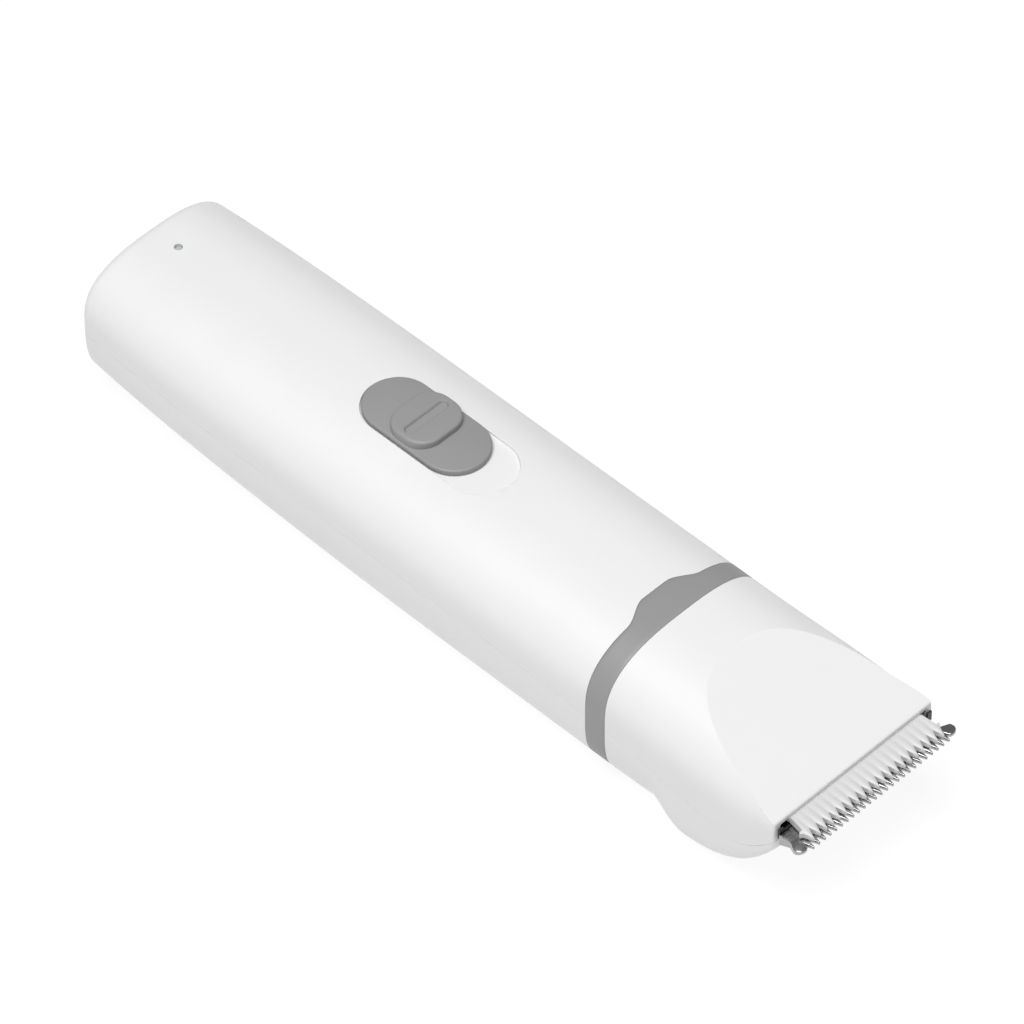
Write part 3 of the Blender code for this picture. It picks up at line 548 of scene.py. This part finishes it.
def draw_pocket(bm):
    """Cutter of the switch's pocket: its rim follows the curved top and is rounded."""
    travel = next(j for j in frame["joints"] if j["name"] == "switch_slide")["range_m"][1] / MM
    length, width = SWITCH_LENGTH + travel + 2 * POCKET_GAP, SWITCH_WIDTH + 2 * POCKET_GAP
    outline = stadium(SWITCH_X + travel / 2, length, width, 28)
    rows = [[(x, y, POCKET_FLOOR) for x, y in offset(outline, 0.15)],
            [(x, y, POCKET_FLOOR + 0.15) for x, y in outline]]
    for k in range(ROUND_STEPS + 1):
        turn = math.radians(90 * k / ROUND_STEPS)
        out = POCKET_ROUND * (1 - math.cos(turn))
        down = POCKET_ROUND * (1 - math.sin(turn))
        rows.append([(x, y, surface_z(x, y) - down) for x, y in offset(outline, -out)])
    rows.append([(x, y, HEIGHT + 2) for x, y in offset(outline, -POCKET_ROUND - 0.6)])
    loops = to_verts(bm, rows)
    skin(bm, loops, closed=True)
    bm.faces.new(loops[0][::-1])
    bm.faces.new(loops[-1])


def draw_round(bm, start, end, radius, steps=40):
    start, end = Vector(start), Vector(end)
    span = end - start
    place = Matrix.Translation((start + end) / 2) @ span.to_track_quat("Z", "X").to_matrix().to_4x4()
    bmesh.ops.create_cone(bm, cap_ends=True, segments=steps, radius1=radius, radius2=radius,
                          depth=span.length, matrix=place)


def draw_box(bm, low, high):
    low, high = Vector(low), Vector(high)
    place = Matrix.Translation((low + high) / 2) @ Matrix.Diagonal((*(high - low), 1.0))
    bmesh.ops.create_cube(bm, size=1.0, matrix=place)


def socket_outline(width, height):
    return [(y, z + SOCKET_Z) for y, z in stadium(0.0, width, height, 12)]


def make_handle():
    upper = handle_shell(upper_arc, upper=True)
    upper = combine(upper, "DIFFERENCE", draw_pocket)
    slot_low, slot_high = ((SWITCH_X + x, y, z) for x, y, z in SLIDER_SLOT)
    upper = combine(upper, "DIFFERENCE", lambda bm: draw_box(bm, slot_low, slot_high))
    upper = combine(upper, "DIFFERENCE", lambda bm: draw_round(
        bm, (LED_X, 0, 24), (LED_X, 0, 30), LED_RADIUS))
    upper = combine(upper, "DIFFERENCE", lambda bm: prism(
        bm, socket_outline(*SOCKET_MOUTH), ((-130, 0.0), (-122, 0.0)), axis="X"))
    piece("handle_upper_casing", upper, SHELL_MAT, "handle", "upper_shell", sharp=32)
    lower = handle_shell(lower_arc, upper=False)
    piece("handle_lower_casing", lower, SHELL_MAT, "handle", "lower_shell", sharp=32)


def make_ring():
    """The collar ring: a sleeve whose rear edge humps over the top, with softened edges."""
    bm = bmesh.new()
    softness = 0.12

    def loop(share, wall, shift):
        section = inset(handle_section(-RING_WIDTH * (1 - share)), wall)
        start = angle_at(section, section["widest"] - 0.01)
        top = arc(section, start, math.pi - start)
        bottom = arc(section, -math.pi - start, start)
        points = top[:-1] + bottom[:-1]
        made = []
        for y, z in points:
            rear = ring_rear(y) if z > WIDEST_Z else -RING_WIDTH
            made.append((rear * (1 - share) + shift, y, z))
        return made

    loops = [loop(0.0, WALL, 0.0), loop(0.0, softness, 0.0), loop(0.0, softness / 3, softness / 3),
             loop(0.0, 0.0, softness)]
    loops += [loop(k / 6, 0.0, 0.0) for k in range(1, 6)]
    loops += [loop(1.0, 0.0, -softness), loop(1.0, softness / 3, -softness / 3),
              loop(1.0, softness, 0.0), loop(1.0, WALL, 0.0)]
    verts = to_verts(bm, loops)
    skin(bm, verts + [verts[0]], closed=True)
    piece("collar_band", bm, GREY_MAT, "handle", "collar_ring", sharp=50)


# ---------------------------------------------------------------- thumb switch

PAD_LENGTH, PAD_WIDTH, PAD_TOP = 10.0, 12.0, SWITCH_HIGH.z
PAD_CORNER, PAD_ROUND = 4.2, 0.5
PLATE_EDGE, PLATE_ROUND, PLATE_CROWN = HEIGHT + 0.35, 0.35, 0.3
GROOVE_LENGTH, GROOVE_WIDTH, GROOVE_DEPTH, GROOVE_ROUND = 9.6, 1.75, 0.5, 0.18


def rounded_box_outline(centre_x, length, width, corner, steps=12):
    points = []
    for sx, sy, first in ((1, 1, 0), (-1, 1, 90), (-1, -1, 180), (1, -1, 270)):
        for k in range(steps + 1):
            t = math.radians(first + 90 * k / steps)
            points.append((centre_x + sx * (length / 2 - corner) + corner * math.cos(t),
                           sy * (width / 2 - corner) + corner * math.sin(t)))
    return points


def crowned(low, edge, radius, crown, reach, steps=10):
    """(level, inset) pairs of a plate with a rounded edge and a top that swells towards its middle."""
    levels = rounded(low, edge, radius)
    for k in range(1, steps + 1):
        share = k / steps
        levels.append((edge + crown * (1 - (1 - share) ** 2), radius + (reach - radius) * share))
    return levels


def make_switch():
    """The thumb switch: a crowned plate with a round-cornered pad, and a groove across the pad."""
    bm = bmesh.new()
    plate = stadium(SWITCH_X, SWITCH_LENGTH, SWITCH_WIDTH, 28)
    reach = SWITCH_WIDTH / 2 - 0.2
    prism(bm, plate, crowned(SWITCH_LOW.z, PLATE_EDGE, PLATE_ROUND, PLATE_CROWN, reach))
    pad = rounded_box_outline(SWITCH_X, PAD_LENGTH, PAD_WIDTH, PAD_CORNER)
    bm = combine(bm, "UNION", lambda other: prism(other, pad, rounded(HEIGHT - 0.2, PAD_TOP, PAD_ROUND)))
    groove = stadium(SWITCH_X, GROOVE_WIDTH, GROOVE_LENGTH, 10, across=True)
    floor = PAD_TOP - GROOVE_DEPTH
    soft = [(floor, GROOVE_ROUND), (floor + GROOVE_ROUND, 0.0), (PAD_TOP - GROOVE_ROUND, 0.0),
            (PAD_TOP, -GROOVE_ROUND), (PAD_TOP + 1, -GROOVE_ROUND)]
    bm = combine(bm, "DIFFERENCE", lambda other: prism(other, groove, soft))
    piece("thumb_switch", bm, GREY_MAT, "switch", "switch_cap", sharp=40)


# ---------------------------------------------------------------- head

HEAD_STEPS = 90


def make_head():
    """The head's two shells, with a rounded rim in front and a sloping face on top."""
    body_end = HEAD_FRONT - RIM_ROUND
    stations = [RING_GAP + (body_end - RING_GAP) * k / HEAD_STEPS for k in range(HEAD_STEPS + 1)]
    turns = [math.radians(90 * k / ROUND_STEPS) for k in range(1, ROUND_STEPS + 1)]
    stations += [body_end + RIM_ROUND * math.sin(t) for t in turns]
    pulls = [0.0] * (HEAD_STEPS + 1) + [RIM_ROUND * (1 - math.cos(t)) for t in turns]
    for name, node, half_arc, upper in (("head_upper_casing", "head_upper_shell", upper_arc, True),
                                        ("head_lower_casing", "head_lower_shell", lower_arc, False)):
        outer = shell_rows(stations, head_section, half_arc, not upper, pulls=pulls)
        inner = []
        for x in stations:
            section = inset(head_section(x), HEAD_WALL)
            if upper:
                section["roof"] = facet_z(x) - FACET_WALL
            inner.append([(x, y, z) for y, z in half_arc(section)])
        bm = half_shell(outer, inner, closed_tail=False)
        if upper:
            bm = combine(bm, "DIFFERENCE", draw_facet)
        obj = piece(name, bm, SHELL_MAT, "head", node, sharp=32)
        if upper:
            sharpen_facet(obj)


def facet_z(x):
    """Height of the sloping face."""
    return HEIGHT - FACET_SLOPE * (x - FACET_START)


def draw_facet(bm):
    """Everything above the sloping face on top of the head."""
    rear, edge, high = FACET_START - 3, HEAD_FRONT - FACET_ROUND, HEIGHT + 10
    outline = [(x, facet_z(x)) for x in (rear, edge)]
    for k in range(1, ROUND_STEPS + 1):
        turn = math.radians(90 * k / ROUND_STEPS)
        x = edge + FACET_ROUND * math.sin(turn)
        outline.append((x, facet_z(x) - FACET_ROUND * (1 - math.cos(turn))))
    outline += [(HEAD_FRONT + 6, outline[-1][1]), (HEAD_FRONT + 6, high), (rear, high)]
    prism(bm, outline, ((-30, 0.0), (30, 0.0)), axis="Y")


def sharpen_facet(obj):
    """Keep the sloping face flat by making its border sharp."""
    up = Vector((FACET_SLOPE, 0.0, 1.0)).normalized()
    mesh = obj.data
    rear, front = RING_X + FACET_START * MM, RING_X + (HEAD_FRONT - RIM_ROUND) * MM
    flat = {p.index for p in mesh.polygons if p.normal.dot(up) > 0.9999 and p.center.x > rear}
    owners = {}
    for p in mesh.polygons:
        for key in p.edge_keys:
            owners.setdefault(key, []).append(p.index in flat)
    for edge in mesh.edges:
        sides = owners.get(edge.key, [])
        middle = (mesh.vertices[edge.vertices[0]].co.x + mesh.vertices[edge.vertices[1]].co.x) / 2
        if len(sides) == 2 and sides[0] != sides[1] and middle < front:
            edge.use_edge_sharp = True


# ---------------------------------------------------------------- blades

BLADE_TEETH, BLADE_PITCH = 21, 1.547
COMB_TEETH, COMB_PITCH = 25, 1.342
BLADE_HALF = BLADE_HIGH.y
BLADE_REAR, BLADE_CREST = HEAD_FRONT - 0.3, HEAD_FRONT + 0.55
BLADE_ROOT, BLADE_TIP = 42.1, BLADE_HIGH.x - 0.05
REAR_DROP, GROOVE_DROP, TIP_DROP = 0.9, 0.18, 0.6     # how far the blade's top falls in each place
CORNER_CUTS = ((-1, 0.8), (1, 0.4))                   # side, and how much narrower the rear is there
TONGUES = ((28, 9), (37.5, 15.4))                     # rear end and half width
TONGUE_HEIGHT = 0.45

def toothed_plate(bm, teeth, pitch, half, stations, gap_row, tooth_half, top_z, bottom_z, columns=8):
    """A plate whose front rows split into teeth; heights are functions of x and the place in a tooth."""
    made = {}
    margin = half - teeth * pitch / 2

    def vert(level, r, t, c):
        shared = r <= gap_row
        key = (level, r, t * columns + c) if shared else (level, r, t, c)
        if key not in made:
            x = stations[r]
            u = 2 * c / columns - 1
            centre = (t - (teeth - 1) / 2) * pitch
            y = centre + u * (pitch / 2 if shared else tooth_half(x))
            if shared and (t * columns + c) in (0, teeth * columns):
                y += math.copysign(margin, y)
            height = (top_z if level else bottom_z)(x, u)
            made[key] = bm.verts.new((x, y, height))
        return made[key]

    last = len(stations) - 1
    for t in range(teeth):
        for c in range(columns):
            for r in range(last):
                for level in (0, 1):
                    bm.faces.new([vert(level, r + a, t, c + b) for a, b in ((0, 0), (1, 0), (1, 1), (0, 1))])
            for r in (0, last):
                bm.faces.new([vert(level, r, t, c + b) for level, b in ((0, 0), (0, 1), (1, 1), (1, 0))])
        for c in (0, columns):
            outer = (t == 0 and c == 0) or (t == teeth - 1 and c == columns)
            for r in range(0 if outer else gap_row, last):
                bm.faces.new([vert(level, r + a, t, c) for level, a in ((0, 0), (0, 1), (1, 1), (1, 0))])


def blade_tooth_half(x):
    """Half the width of a ceramic tooth, down to its blunt point."""
    return (BLADE_PITCH / 2) * (BLADE_TIP - x) / (BLADE_TIP - BLADE_ROOT) * 0.9 + 0.07


def blade_top_z(x, u):
    """Height of the ceramic blade's top: low at the rear, ridged, and falling towards the tips."""
    edge = REAR_DROP * max(0.0, 1 - (x - BLADE_REAR) / (BLADE_CREST - BLADE_REAR)) ** 1.3
    share = min(1.0, max(0.0, (x - BLADE_REAR) / (BLADE_ROOT - BLADE_REAR)))
    groove = GROOVE_DROP * share ** 0.8 * abs(u) ** 1.6
    fall = TIP_DROP * max(0.0, (x - BLADE_ROOT + 1.0) / (BLADE_TIP - BLADE_ROOT + 1.0)) ** 1.6
    return BLADE_HIGH.z - edge - groove - fall


def spaced(start, end, count):
    """Evenly spaced stations after the start, up to the end."""
    return [start + (end - start) * k / count for k in range(1, count + 1)]


def make_moving_blade():
    """The ceramic blade: a ground plate with long soft ridges that end in pointed teeth."""
    bottom = BLADE_LOW.z
    body = [BLADE_REAR] + spaced(BLADE_REAR, BLADE_CREST, 6) + spaced(BLADE_CREST, BLADE_ROOT, 8)
    stations = body + spaced(BLADE_ROOT, BLADE_TIP, 7)
    bm = bmesh.new()
    toothed_plate(bm, BLADE_TEETH, BLADE_PITCH, BLADE_HALF, stations, len(body) - 1, blade_tooth_half,
                  blade_top_z, lambda x, u: bottom)
    for side, cut in CORNER_CUTS:
        rear, front, outside = BLADE_REAR - 1, BLADE_ROOT - 0.3, BLADE_HALF + 2
        corner = [(rear, BLADE_HALF - cut), (front, BLADE_HALF + 0.01), (front, outside), (rear, outside)]
        turned = [(x, side * y) for x, y in corner][::side]
        bm = combine(bm, "DIFFERENCE", lambda other, turned=turned: prism(
            other, turned, ((bottom - 1, 0.0), (BLADE_HIGH.z + 1, 0.0))))
    for back, half in TONGUES:
        bm = combine(bm, "UNION", lambda other, back=back, half=half: draw_box(
            other, (back, -half, bottom), (BLADE_REAR + 0.3, half, bottom + TONGUE_HEIGHT)))
    piece("ceramic_cutting_blade", bm, CERAMIC_MAT, "blade", "moving_blade", sharp=42)


COMB_REAR, COMB_ROOT, COMB_TIP, COMB_TANG = 39.0, 43.2, TIP_X - 0.2, 13.6
COMB_LOBE = ((COMB_REAR, 18.3), (40.9, 18.1), (41.5, 18.2), (42.1, 18.6), (42.7, 18.9), (43.3, 18.95),
             (43.8, 18.7), (44.15, 18.2), (44.25, 17.6), (44.15, 17.1), (43.9, 16.85))
ROOT_HALF, NECK_HALF, TIP_ROUND = 0.5, 0.27, 0.2      # of a comb tooth
SHOULDER_START, SHOULDER_FALL = 16.2, 1.25            # the comb's ends slope down outwards
COMB_SCREW_X, COMB_SCREW_Y, COMB_SCREW_HOLE = 35.4, 11.9, 1.2


def comb_outline():
    """Plan of the steel comb: tang, shoulders, corner lobes and a row of short pointed teeth."""
    turns = [math.radians(a) for a in range(0, 181, 30)]
    teeth = []
    for k in range(COMB_TEETH):
        y = (k - (COMB_TEETH - 1) / 2) * COMB_PITCH
        teeth += [(COMB_ROOT, y - ROOT_HALF), (COMB_TIP - 0.5, y - NECK_HALF)]
        teeth += [(COMB_TIP - TIP_ROUND * (1 - math.sin(t)), y - TIP_ROUND * math.cos(t)) for t in turns]
        teeth += [(COMB_TIP - 0.5, y + NECK_HALF), (COMB_ROOT, y + ROOT_HALF)]
    right = [(33.0, -COMB_TANG), (COMB_REAR, -COMB_TANG)] + [(x, -y) for x, y in COMB_LOBE]
    return right + teeth + [(x, -y) for x, y in right][::-1]


def draw_comb_underside(bm):
    """Everything below the comb, whose underside rises towards the teeth."""
    outline = [(46.5, 19.1), (44.4, 18.95), (42.5, 18.5), (39.2, 17.2), (32.0, 17.2), (32.0, 13), (46.5, 13)]
    prism(bm, outline[::-1], ((-25, 0.0), (25, 0.0)), axis="Y")


def draw_shoulder(bm, side):
    """Everything above the sloping shoulder at one end of the comb."""
    rear, front, outer = 38.0, 41.4, 20.0
    for vert in bmesh.ops.create_cube(bm, size=1.0)["verts"]:
        y = outer if vert.co.y > 0 else SHOULDER_START
        x = front + min(0.8 * (y - SHOULDER_START), 1.6) if vert.co.x > 0 else rear
        slope = COMB_TOP + 0.02 - SHOULDER_FALL * (y - SHOULDER_START)
        vert.co = (x, side * y, COMB_TOP + 2 if vert.co.z > 0 else slope)


def make_comb():
    """The steel comb: teeth with eased top edges between two sloping ends, on a tang with two screw holes."""
    bm = bmesh.new()
    levels = [(14.0, 0.0), (COMB_TOP - 0.3, 0.0), (COMB_TOP - 0.14, 0.03), (COMB_TOP - 0.04, 0.09),
              (COMB_TOP, 0.17)]
    prism(bm, comb_outline(), levels)
    bm = combine(bm, "DIFFERENCE", draw_comb_underside)
    for side in (-1, 1):
        bm = combine(bm, "DIFFERENCE", lambda other, side=side: draw_shoulder(other, side))
        bm = combine(bm, "DIFFERENCE", lambda other, side=side: draw_round(
            other, (COMB_SCREW_X, side * COMB_SCREW_Y, 13), (COMB_SCREW_X, side * COMB_SCREW_Y, 22),
            COMB_SCREW_HOLE))
    piece("steel_comb_blade", bm, STEEL_MAT, "head", "fixed_blade", sharp=38)


# ---------------------------------------------------------------- stage, lights and camera

CAMERA_AZIMUTH, CAMERA_ELEVATION = 44.5218, 47.4071
CAMERA_DISTANCE = 1427.04
CAMERA_LENS, SENSOR = 306.465, 36.0
CAMERA_ACROSS, CAMERA_UP = -28.128, 16.161     # how far the aim point sits from the view's centre
SKY_STRENGTH, FLOOR_TONE, FLOOR_GLOW, FLOOR_HALF = 0.24, 0.12, 0.88, 4.0
LAMP_PLACE, LAMP_SIZE, LAMP_POWER = (0.12, -0.32, 1.06), 0.85, 13.9


def make_camera():
    azimuth, elevation = math.radians(CAMERA_AZIMUTH), math.radians(CAMERA_ELEVATION)
    back = Vector((math.sin(azimuth) * math.cos(elevation), -math.cos(azimuth) * math.cos(elevation),
                   math.sin(elevation)))
    right = Vector((math.cos(azimuth), math.sin(azimuth), 0.0))
    up = back.cross(right)
    aim = Vector((RING_X / MM, 0.0, HEIGHT))
    place = aim + CAMERA_ACROSS * right + CAMERA_UP * up + CAMERA_DISTANCE * back
    data = bpy.data.cameras.new("camera")
    data.lens = CAMERA_LENS
    data.sensor_width = SENSOR
    data.clip_start, data.clip_end = 0.05, 20.0
    camera = bpy.data.objects.new("camera", data)
    turn = Matrix((right, up, back)).transposed().to_4x4()
    camera.matrix_world = Matrix.Translation(place * MM) @ turn
    bpy.context.scene.collection.objects.link(camera)
    bpy.context.scene.camera = camera


def area_light(name, place, aim, size, power):
    data = bpy.data.lights.new(name, "AREA")
    data.shape = "DISK"
    data.size = size
    data.energy = power
    lamp = bpy.data.objects.new(name, data)
    lamp.location = place
    lamp.rotation_mode = "QUATERNION"
    lamp.rotation_quaternion = (Vector(aim) - Vector(place)).to_track_quat("-Z", "Y")
    bpy.context.scene.collection.objects.link(lamp)


def make_lights():
    world = bpy.data.worlds.new("studio")
    bpy.context.scene.world = world
    world.use_nodes = True
    background = world.node_tree.nodes["Background"]
    background.inputs["Color"].default_value = (1.0, 1.0, 1.0, 1.0)
    background.inputs["Strength"].default_value = SKY_STRENGTH
    area_light("overhead", LAMP_PLACE, (0, 0, 0), LAMP_SIZE, LAMP_POWER)


def make_floor():
    mat, tree, shader = tree_of("pale_floor", (FLOOR_TONE,) * 3, 0.9)
    shader.inputs["Emission Color"].default_value = (1.0, 1.0, 1.0, 1.0)
    shader.inputs["Emission Strength"].default_value = FLOOR_GLOW
    vary_roughness(tree, shader, noise(tree, 40.0), 0.85, 0.95)
    bm = bmesh.new()
    bmesh.ops.create_grid(bm, x_segments=1, y_segments=1, size=FLOOR_HALF)
    mesh = bpy.data.meshes.new("floor")
    bm.to_mesh(mesh)
    bm.free()
    mesh.materials.append(mat)
    floor = bpy.data.objects.new("floor", mesh)
    floor.location.z = -0.0002
    bpy.context.scene.collection.objects.link(floor)


bpy.context.scene.view_settings.view_transform = "Standard"
make_camera()
make_lights()
make_floor()
dress_cad_nodes()
make_handle()
make_ring()
make_switch()
make_head()
make_moving_blade()
make_comb()
